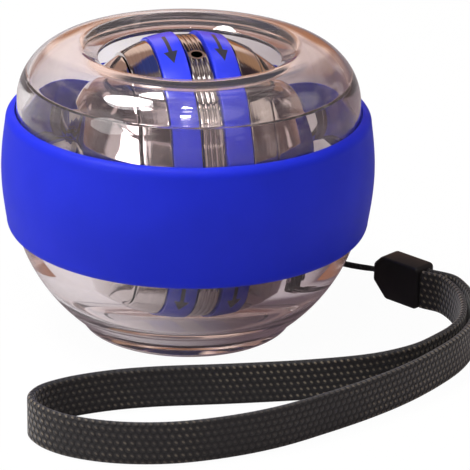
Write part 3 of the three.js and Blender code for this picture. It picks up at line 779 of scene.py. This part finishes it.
class WRISTBALL_OT_lanyard(bpy.types.Operator):
    """Makes the clasp, the woven strap and the thin string"""
    bl_idname = "wristball.lanyard"
    bl_label = "Lanyard"

    def execute(self, context):
        clasp = self.clasp()
        self.strap(clasp)
        self.string()
        return {"FINISHED"}

    def clasp(self):
        s = sizes("lanyard")
        half, top, edge = s.clasp_length / 2, s.clasp_height, 0.9 * MM
        thickness = s.clasp_thickness
        outline = arc((half - edge, edge), edge, -math.pi / 2, 0, 4)
        outline += arc((half - edge, top - edge), edge, 0, math.pi / 2, 4)
        outline += [(-half + s.clasp_top_cut, top), (-half, top - s.clasp_top_cut)]
        outline += [(-half, s.clasp_low_cut), (-half + s.clasp_low_cut, 0.0)]
        bm = bmesh.new()
        face = bm.faces.new([bm.verts.new((x, -thickness / 2, z)) for x, z in outline])
        grown = bmesh.ops.extrude_face_region(bm, geom=[face])["geom"]
        moved = [item for item in grown if isinstance(item, bmesh.types.BMVert)]
        bmesh.ops.translate(bm, verts=moved, vec=(0, thickness, 0))
        bmesh.ops.recalc_face_normals(bm, faces=bm.faces)
        corner_angle = math.radians(40)
        soften(bm, s.clasp_bevel, 4, corner_angle)
        depth, room = 2.4 * MM, 0.3 * MM
        slot = box(
            (half, 0, strap_middle()),
            (2 * depth, 2 * s.strap_thickness + 2 * room, s.strap_width - 2 * room))
        bm = combined(bm, [slot], "DIFFERENCE")
        bmesh.ops.transform(bm, matrix=clasp_place(), verts=bm.verts)
        return finished("moulded_clasp", bm, "housing", black_plastic, "strap_clasp")

    def strap(self, clasp):
        s = sizes("lanyard")
        middle = strap_middle()
        offset = (s.strap_thickness + RUNNING_GAP) / 2
        reach = s.clasp_length / 2
        inside, spacing = -1.6 * MM, 0.7 * MM
        ends = [
            [clasp_place() @ Vector((reach + out, side * offset, middle)) for out in (inside, RUNNING_GAP)]
            for side in (-1, 1)]
        route = [lanyard_turn() @ Vector((x * MM, y * MM, middle)) for x, y in STRAP_ROUTE]
        points = [*ends[0], *route, *reversed(ends[1])]
        line, total = smooth_line(points, spacing)
        frames = [(Vector((0, 0, 1)), across_of(line, i)) for i in range(len(line))]
        section = flat_section(s.strap_width / 2, s.strap_thickness / 2)
        bm = swept(line, frames, section)
        strap = finished("woven_wrist_strap", bm, "housing", webbing, "wrist_strap")

    def string(self):
        s = sizes("lanyard")
        points = string_points()
        spacing = 0.3 * MM
        line, total = smooth_line(points, spacing)
        frames = []
        for i in range(len(line)):
            across = across_of(line, i)
            frames.append((across, across.cross(heading(line, i)).normalized()))
        section = arc((0.0, 0.0), s.string_radius, 0, FULL_TURN, 14)[:-1]
        bm = swept(line, frames, section)
        string = finished("thin_string", bm, "housing", string_yarn, "lanyard_string")


def heading(line, i):
    ahead = line[min(i + 1, len(line) - 1)]
    behind = line[max(i - 1, 0)]
    return (ahead - behind).normalized()


def across_of(line, i):
    """Level direction square to the line."""
    return heading(line, i).cross(Vector((0, 0, 1))).normalized()


def flat_section(half_width, half_thickness):
    """A flat strip's section with full round edges."""
    points = []
    edge = half_width - half_thickness
    strips = 8
    for side in (1, -1):
        rounded = arc((edge, 0.0), half_thickness, math.pi / 2, -math.pi / 2, 6)
        points += [(side * across, side * up) for across, up in rounded]
        for i in range(1, strips):
            points.append((side * edge * (1 - 2 * i / strips), -side * half_thickness))
    return points


def casing_radius_at(z):
    """Outer radius of the casing at a height, up to the shoulder."""
    s = sizes("casing")
    if z <= s.track_height:
        return math.sqrt(s.sphere_radius ** 2 - (z - s.sphere_height) ** 2)
    share = min((z - s.track_height) / (s.crest_height - s.shoulder_radius - s.track_height), 1.0)
    seam = casing_radius_at(s.track_height)
    return seam + (s.shoulder_reach - seam) * share


class WRISTBALL_OT_casing(bpy.types.Operator):
    """Makes the two clear halves of the casing"""
    bl_idname = "wristball.casing"
    bl_label = "Casing"

    def execute(self, context):
        edge = 0.12 * MM
        upper = spun(self.upper_outline(), "Z", edge)
        lower = combined(spun(self.lower_outline(), "Z", edge), self.string_bores(), "DIFFERENCE")
        finished("clear_upper_casing", upper, "housing", clear_plastic, "upper_shell")
        finished("clear_lower_casing", lower, "housing", clear_plastic, "lower_shell")
        return {"FINISHED"}

    def shared(self):
        s = sizes("casing")
        groove = sizes("rotor").axle_radius + RUNNING_GAP
        seam_reach = casing_radius_at(s.track_height)
        return s, groove, seam_reach, (s.track_radius + seam_reach) / 2

    def upper_outline(self):
        s, groove, seam_reach, seam_middle = self.shared()
        shoulder = (s.shoulder_reach - s.shoulder_radius, s.crest_height - s.shoulder_radius)
        inner_round = s.shoulder_radius - s.shoulder_wall
        step = s.crest_height - s.step_drop
        step_angle = math.asin((step - shoulder[1]) / inner_round)
        lip_start, lip_turned, end_start, end_turned, inner_start = (
            math.radians(degrees) for degrees in (92, 122, 125, 305, 100))
        lip_inset = s.shoulder_radius - s.lip_radius
        lip = (shoulder[0] + lip_inset * math.cos(lip_start), shoulder[1] + lip_inset * math.sin(lip_start))
        lip_end = (s.opening_radius + s.lip_end, s.crest_height - s.lip_drop)
        seam = s.track_height + SEAT_GAP / 2
        tongue = s.track_height + s.seam_tongue + SEAT_GAP
        ledge = s.track_height + groove
        ledge_top = ledge + s.ledge_thickness
        return [
            (seam_reach, tongue),
            *arc(shoulder, s.shoulder_radius, 0, lip_start, 32),
            *arc(lip, s.lip_radius, lip_start, lip_turned, 12)[1:],
            *arc(lip_end, s.lip_end, end_start, end_turned, 12),
            *arc(shoulder, inner_round, inner_start, step_angle, 22),
            (s.shoulder_reach - s.step_inset, step),
            (s.track_radius, ledge_top), (s.ledge_radius, ledge_top),
            (s.ledge_radius, ledge), (s.track_radius, ledge),
            (s.track_radius, seam), (seam_middle, seam), (seam_middle, tongue)]

    def lower_outline(self):
        s, groove, seam_reach, seam_middle = self.shared()
        middle = s.sphere_height
        floor_round = (s.ledge_radius - s.floor_round, s.floor_thickness + s.floor_round)
        edge, knee = 0.6 * MM, 0.6
        foot_top = s.foot_radius + s.foot_flare
        seam = s.track_height - SEAT_GAP / 2
        tongue = s.track_height + s.seam_tongue
        return [
            (0.0, s.recess_depth),
            (s.recess_radius - s.recess_depth, s.recess_depth),
            (s.recess_radius, 0.0),
            *arc((s.foot_radius - edge, edge), edge, -math.pi / 2, 0, 6),
            (s.foot_radius + s.foot_flare * knee, s.foot_height * knee),
            (foot_top, s.foot_height),
            *sphere_run(s.sphere_radius, s.foot_height - middle, s.track_height - middle, 36, middle),
            (seam_reach, tongue), (seam_middle + SEAT_GAP, tongue), (seam_middle + SEAT_GAP, seam),
            (s.track_radius, seam), (s.track_radius, s.track_height - groove),
            (s.ledge_radius, s.track_height - groove),
            *arc(floor_round, s.floor_round, 0, -math.pi / 2, 24), (0.0, s.floor_thickness)]

    def string_bores(self):
        points = string_points()
        tools = []
        past_wall = 4.4 * MM
        for start, end in STRING_BORES:
            along = (points[end] - points[start]).normalized() * past_wall
            tools.append(rod(sizes("casing").string_hole, points[start] - along, points[end] + along, 24))
        return tools


class WRISTBALL_OT_grip_band(bpy.types.Operator):
    """Makes the silicone band round the casing"""
    bl_idname = "wristball.grip_band"
    bl_label = "Grip Band"

    def execute(self, context):
        s = sizes("band")
        steps = 24
        inside = []
        outside = []
        for i in range(steps + 1):
            share = i / steps
            z = s.top + (s.bottom - s.top) * share
            inside.append((casing_radius_at(z) + SEAT_GAP, z))
            z = s.bottom + s.edge_round + (s.top - s.bottom - 2 * s.edge_round) * share
            outside.append((s.edge_reach + (s.reach - s.edge_reach) * math.sin(math.pi * share), z))
        bottom_edge = self.edge(inside[-1][0], s.bottom, s.bottom + s.edge_round)
        top_edge = self.edge(inside[0][0], s.top, s.top - s.edge_round)
        bm = spun([*inside, *bottom_edge, *outside, *reversed(top_edge)], "Z")
        finished("silicone_grip_band", bm, "housing", silicone, "grip_band")
        return {"FINISHED"}

    def edge(self, inner, end, start):
        """A quarter round from the band's end to its outer face."""
        outer = sizes("band").edge_reach
        fullness, steps = 0.96, 8
        radius = (outer - inner) * fullness
        points = []
        for i in range(steps):
            turn = math.pi / 2 * i / steps
            rise = (start - end) * (1 - math.cos(turn))
            points.append((outer - radius * (1 - math.sin(turn)), end + rise))
        return points


class WRISTBALL_OT_carrier(bpy.types.Operator):
    """Makes the ring that carries the axle, with its arbor and bush"""
    bl_idname = "wristball.carrier"
    bl_label = "Carrier"

    def execute(self, context):
        s = sizes("carrier")
        casing = sizes("casing")
        rotor = sizes("rotor")
        middle = casing.track_height
        bore = rotor.axle_radius + RUNNING_GAP
        face = rotor.cap_half + s.block_gap
        reach = s.block_reach
        self.ring(s, casing, middle, bore, face, reach)
        flange = face - SEAT_GAP
        flange_start = flange - s.flange_thickness
        bush = [
            (bore, flange_start), (s.flange_radius, flange_start), (s.flange_radius, flange),
            (s.bush_radius, flange), (s.bush_radius, reach), (bore, reach)]
        arbor = [
            (bore, -s.arbor_end), (s.arbor_radius, -s.arbor_end),
            (s.arbor_radius, -s.arbor_start), (bore, -s.arbor_start)]
        for name, outline, maker, node in (
                ("brass_axle_bush", bush, brass, "axle_bush"),
                ("spring_arbor", arbor, steel, "starter_arbor")):
            bm = spun(outline, "X", FINE_EDGE, middle, SMALL_STEPS)
            finished(name, bm, "carrier", maker, node)
        return {"FINISHED"}

    def ring(self, s, casing, middle, bore, face, reach):
        """The flat ring with a bearing block at each end of the axle."""
        half = s.ring_half
        inner = casing.ledge_radius - s.ring_inset
        outer = casing.track_radius - s.ring_play
        edge = 0.25 * MM
        ring = spun([(inner, -half), (outer, -half), (outer, half), (inner, half)], "Z", edge, middle)
        blocks = []
        for side in (-1, 1):
            block = box((side * (face + reach) / 2, 0, middle), (reach - face, s.block_width, s.block_height))
            soften(block, s.block_round, 3)
            blocks.append(block)
        ring = combined(ring, blocks, "UNION")
        past = MM
        tools = [
            rod(radius, Vector((start, 0, middle)), Vector((end, 0, middle)))
            for radius, start, end in (
                (bore, -outer - past, outer + past),
                (s.arbor_radius + SEAT_GAP, -s.arbor_end - SEAT_GAP, -face + past),
                (s.bush_radius + SEAT_GAP, face - past, reach + SEAT_GAP))]
        ring = combined(ring, tools, "DIFFERENCE")
        finished("ring_with_bearing_blocks", ring, "carrier", nylon, "carrier_ring")


class WRISTBALL_OT_rotor(bpy.types.Operator):
    """Makes the spinning rotor: wheels, stripes, middle ring, side caps and axle"""
    bl_idname = "wristball.rotor"
    bl_label = "Rotor"

    def execute(self, context):
        height = sizes("casing").track_height
        for side, sign in (("left", -1), ("right", 1)):
            for name, outline, maker, slot, node in (
                    ("rotor_wheel", self.wheel(), brushed_metal, "bright_metal", "wheel"),
                    ("blue_stripe", self.stripe(), stripe_plastic, "blue_plastic", "stripe"),
                    ("side_cap", self.cap(side == "left"), bright_metal, "bright_metal", "dome")):
                bm = spun([(r, sign * x) for r, x in outline], "X", FINE_EDGE, height)
                finished(side + "_" + name, bm, "rotor", maker, side + "_" + node)
        self.middle_ring()
        self.axle()
        return {"FINISHED"}

    def wheel(self):
        s = sizes("rotor")
        stripe_end = s.middle_half + s.stripe_width + SEAT_GAP
        bore = s.axle_radius + SEAT_GAP
        return [
            (bore, SEAT_GAP / 2), (s.middle_seat - SEAT_GAP, SEAT_GAP / 2),
            (s.middle_seat - SEAT_GAP, s.middle_half), (s.stripe_seat - SEAT_GAP, s.middle_half),
            (s.stripe_seat - SEAT_GAP, stripe_end),
            *sphere_run(s.rim_radius, stripe_end, s.wheel_half, 14), (bore, s.wheel_half)]

    def stripe(self):
        s = sizes("rotor")
        start = s.middle_half + SEAT_GAP
        end = s.middle_half + s.stripe_width
        return [(s.stripe_seat, start), *sphere_run(s.stripe_radius, start, end, 12), (s.stripe_seat, end)]

    def cap(self, hollow):
        s = sizes("rotor")
        inner = s.wheel_half + SEAT_GAP
        bore = sizes("carrier").arbor_radius + RUNNING_GAP
        recess = s.cap_half - s.hub_recess
        outline = [
            *sphere_run(s.cap_radius, inner, s.cap_half, 26), (s.hub_radius + s.hub_recess, s.cap_half),
            (s.hub_radius, recess), (bore, recess)]
        if not hollow:
            return [*outline, (bore, inner)]
        floor = inner + s.cavity_depth
        return [*outline, (bore, floor), (s.cavity_radius, floor), (s.cavity_radius, inner)]

    def middle_ring(self):
        s = sizes("rotor")
        height = sizes("casing").track_height
        half = s.middle_half - SEAT_GAP
        pitch = 2 * half / (s.groove_count + 1)
        outline = [(s.middle_seat, -half), (s.middle_radius, -half)]
        for i in range(s.groove_count):
            x = -half + pitch * (i + 1)
            for across, deep in arc((0.0, 0.0), 1.0, math.pi, 0, 6):
                outline.append((s.middle_radius - s.groove_depth * deep, x + s.groove_width / 2 * across))
        outline += [(s.middle_radius, half), (s.middle_seat, half)]
        bm = spun(outline, "X", FINE_EDGE / 2, height)
        way = Vector((0, -math.sin(s.hole_angle), math.cos(s.hole_angle)))
        middle = Vector((0, 0, height))
        past = MM
        rim, bore = (
            rod(radius, middle + way * start, middle + way * end)
            for radius, start, end in (
                (s.hole_radius + s.hole_rim, s.middle_seat + 0.5 * past, s.middle_radius),
                (s.hole_radius, s.middle_seat - past, s.middle_radius + past)))
        bm = combined(combined(bm, [rim], "UNION"), [bore], "DIFFERENCE")
        finished("grooved_middle_ring", bm, "rotor", brushed_metal, "middle_ring")

    def axle(self):
        s = sizes("rotor")
        end = sizes("casing").track_radius - RUNNING_GAP
        tip = s.tip_round
        outline = [(0.0, -end), *arc((s.axle_radius - tip, -end + tip), tip, -math.pi / 2, 0, 6),
                   *arc((s.axle_radius - tip, end - tip), tip, 0, math.pi / 2, 6), (0.0, end)]
        bm = spun(outline, "X", 0.0, sizes("casing").track_height, SMALL_STEPS)
        finished("rotor_axle", bm, "rotor", steel, "axle")


class WRISTBALL_OT_starter(bpy.types.Operator):
    """Finishes the spring starter's drum, spring, pawls and pins"""
    bl_idname = "wristball.starter"
    bl_label = "Starter"

    def execute(self, context):
        for name in ("starter_drum", "mainspring", "pawl_1", "pawl_2", "pawl_pin_1", "pawl_pin_2"):
            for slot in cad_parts[name].material_slots:
                slot.material = finish(steel)
        return {"FINISHED"}


class WRISTBALL_OT_studio(bpy.types.Operator):
    """Adds the pale floor, the lamps and the room that bright metal and clear plastic show"""
    bl_idname = "wristball.studio"
    bl_label = "Studio"

    def execute(self, context):
        self.floor()
        self.lamps(context)
        self.world(context)
        return {"FINISHED"}

    def floor(self):
        """A pale table: white to the camera, with painted light on its left and painted shade on its right in
        the plastic, and brown painted shade in reflections.
        """
        bm = bmesh.new()
        bmesh.ops.create_grid(bm, x_segments=1, y_segments=1, size=3.0)
        floor = linked("floor", bm)
        nodes = Finish("pale_floor")
        cloud = nodes.noise(nodes.place(), 6.0, 2.0)
        tone = nodes.blend(cloud, (0.8, 0.8, 0.8), (0.82, 0.82, 0.82))
        plain = nodes.add("ShaderNodeBsdfPrincipled", {}, {"Base Color": tone, "Roughness": 0.9})
        white = nodes.glow("ShaderNodeEmission", (1, 1, 1))
        # The brown emission is painted shade, shown in reflections of the floor and, more towards its right,
        # through the plastic.
        shade_brown = nodes.glow("ShaderNodeEmission", (0.15, 0.10, 0.12))
        camera, glossy, through = map(nodes.light_path, ("Camera", "Glossy", "Transmission"))
        right = tuple(lanyard_turn() @ Vector((1, 0, 0)))
        light_at_ball, fall_to_right = 0.54, 8.0
        aside = nodes.measured("DOT_PRODUCT", nodes.place(), right)
        lit = (light_at_ball - aside * fall_to_right).clamped()
        mirrored = (glossy - through).clamped()
        seen_white, mirrored_shade_brown = 0.97, 0.7
        white_share = (camera * seen_white).most(through * ((lit - 0.46) * 4.0).clamped())
        shade_brown_share = (mirrored * mirrored_shade_brown).most(through * (0.95 - 1.2 * lit).clamped())
        nodes.show(nodes.mixed(shade_brown_share, nodes.mixed(white_share, plain, white), shade_brown))
        floor.data.materials.append(nodes.material)

    def lamps(self, context):
        s = sizes("studio")
        turn = lanyard_turn()
        aimed_at = Vector((0, 0, 25 * MM))
        for name, place, size, power in (
                ("key", (-390, -20, 880), 360, s.key_power),
                ("front", (-20, -500, 850), 90, s.key_power * 0.16),
                ("top", (-10, -230, 960), 80, s.key_power * 0.12),
                ("left", (-760, -560, 420), 480, s.key_power * 0.3)):
            data = bpy.data.lights.new(name, "AREA")
            data.shape = "DISK"
            data.size = size * MM
            data.energy = power
            lamp = bpy.data.objects.new(name, data)
            spot = turn @ (Vector(place) * MM)
            facing = (spot - aimed_at).to_track_quat("Z", "Y").to_matrix().to_4x4()
            lamp.matrix_world = Matrix.Translation(spot) @ facing
            context.collection.objects.link(lamp)

    # Soft boxes and lit walls of the room, with darker patches; the blue patch is a painted reflection of the
    # grip band in the side caps, and the dark patch low in front is painted shade: direction, outer angle in
    # degrees, colour
    glows = (
        ((0.22, -0.36, 0.90), 17, (1.0, 0.95, 0.90)), ((0.76, 0.22, 0.61), 14, (1.0, 0.93, 0.84)),
        ((-0.10, 0.93, 0.34), 34, (0.42, 0.26, 0.21)), ((-0.05, 0.95, 0.27), 20, (1.0, 0.74, 0.62)),
        ((0.0, 1.0, 0.0), 16, (0.42, 0.17, 0.07)), ((-0.25, -0.42, 0.87), 12, (0.75, 0.68, 0.7)),
        ((-0.27, 0.57, 0.77), 15, (0.05, 0.07, 0.28)), ((0.05, 0.83, 0.56), 12, (0.02, 0.02, 0.03)),
        ((0.37, 0.83, 0.42), 10, (0.45, 0.26, 0.16)),
        ((0.05, -0.98, 0.14), 20, (0.07, 0.055, 0.07)), ((-0.80, -0.35, 0.48), 18, (0.85, 0.80, 0.80)),
        ((0.45, -0.76, 0.47), 10, (0.75, 0.66, 0.66)))

    def patch(self, nodes, way, place, spread):
        """One inside a round patch of the room, fading at its edge."""
        aim = lanyard_turn() @ Vector(place).normalized()
        facing = nodes.measured("DOT_PRODUCT", way, tuple(aim))
        outer = math.cos(math.radians(spread))
        fading_share = 0.35
        return ((facing - outer) / (fading_share * (1 - outer))).clamped()

    def world(self, context):
        world = bpy.data.worlds.new("studio_room")
        context.scene.world = world
        world.use_nodes = True
        nodes = Nodes(world.node_tree)
        way = nodes.add("ShaderNodeTexCoord", output="Generated")
        height = nodes.parts(way)[2]
        walls = nodes.noise(way, 2.6, 3.0, 0.5)
        horizon, rise, unevenness = 0.1, 0.8, 0.5
        level = (height * rise + horizon + unevenness * (walls - 0.5)).clamped()
        tone = nodes.add("ShaderNodeValToRGB", {"stops": [
            (0.0, (0.46, 0.34, 0.32)), (0.18, (0.28, 0.18, 0.16)), (0.36, (0.08, 0.05, 0.055)),
            (0.62, (0.04, 0.028, 0.035)), (0.8, (0.16, 0.12, 0.13)), (1.0, (0.36, 0.31, 0.32))]}, {0: level})
        cloud = ((nodes.noise(way, 4.2, 1.5) - 0.56) * 14.0).clamped()
        tone = nodes.blend(cloud, tone, (0.92, 0.82, 0.80))
        for place, spread, glow in self.glows:
            tone = nodes.blend(self.patch(nodes, way, place, spread), tone, glow)
        around = nodes.add("ShaderNodeBackground", {}, {"Color": tone, "Strength": sizes("studio").fill})
        white = nodes.glow("ShaderNodeBackground", (1, 1, 1))
        nodes.show(nodes.mixed(nodes.light_path("Camera"), around, white), "ShaderNodeOutputWorld")


class WRISTBALL_PT_panel(bpy.types.Panel):
    bl_idname = "WRISTBALL_PT_panel"
    bl_label = "Wrist Ball"
    bl_space_type = "VIEW_3D"
    bl_region_type = "UI"
    bl_category = "Wrist Ball"

    def draw(self, context):
        for operator in OPERATORS:
            self.layout.operator(operator.bl_idname)


GROUPS = {
    "casing": CasingSizes, "band": BandSizes, "rotor": RotorSizes, "carrier": CarrierSizes,
    "lanyard": LanyardSizes, "colours": FinishColours, "studio": StudioSettings}
OPERATORS = (
    WRISTBALL_OT_camera, WRISTBALL_OT_lanyard, WRISTBALL_OT_casing, WRISTBALL_OT_grip_band,
    WRISTBALL_OT_carrier, WRISTBALL_OT_rotor, WRISTBALL_OT_starter, WRISTBALL_OT_studio)


def register():
    for item in (*GROUPS.values(), *OPERATORS, WRISTBALL_PT_panel):
        bpy.utils.register_class(item)
    for name, group in GROUPS.items():
        setattr(bpy.types.Scene, "wristball_" + name, PointerProperty(type=group))


def unregister():
    for name in GROUPS:
        delattr(bpy.types.Scene, "wristball_" + name)
    for item in reversed((*GROUPS.values(), *OPERATORS, WRISTBALL_PT_panel)):
        bpy.utils.unregister_class(item)


def main():
    register()
    bpy.context.scene.view_settings.view_transform = "Standard"
    bpy.ops.wristball.camera()
    bpy.ops.wristball.lanyard()
    bpy.ops.wristball.casing()
    bpy.ops.wristball.grip_band()
    bpy.ops.wristball.carrier()
    bpy.ops.wristball.rotor()
    bpy.ops.wristball.starter()
    bpy.ops.wristball.studio()


if __name__ == "__main__":
    main()
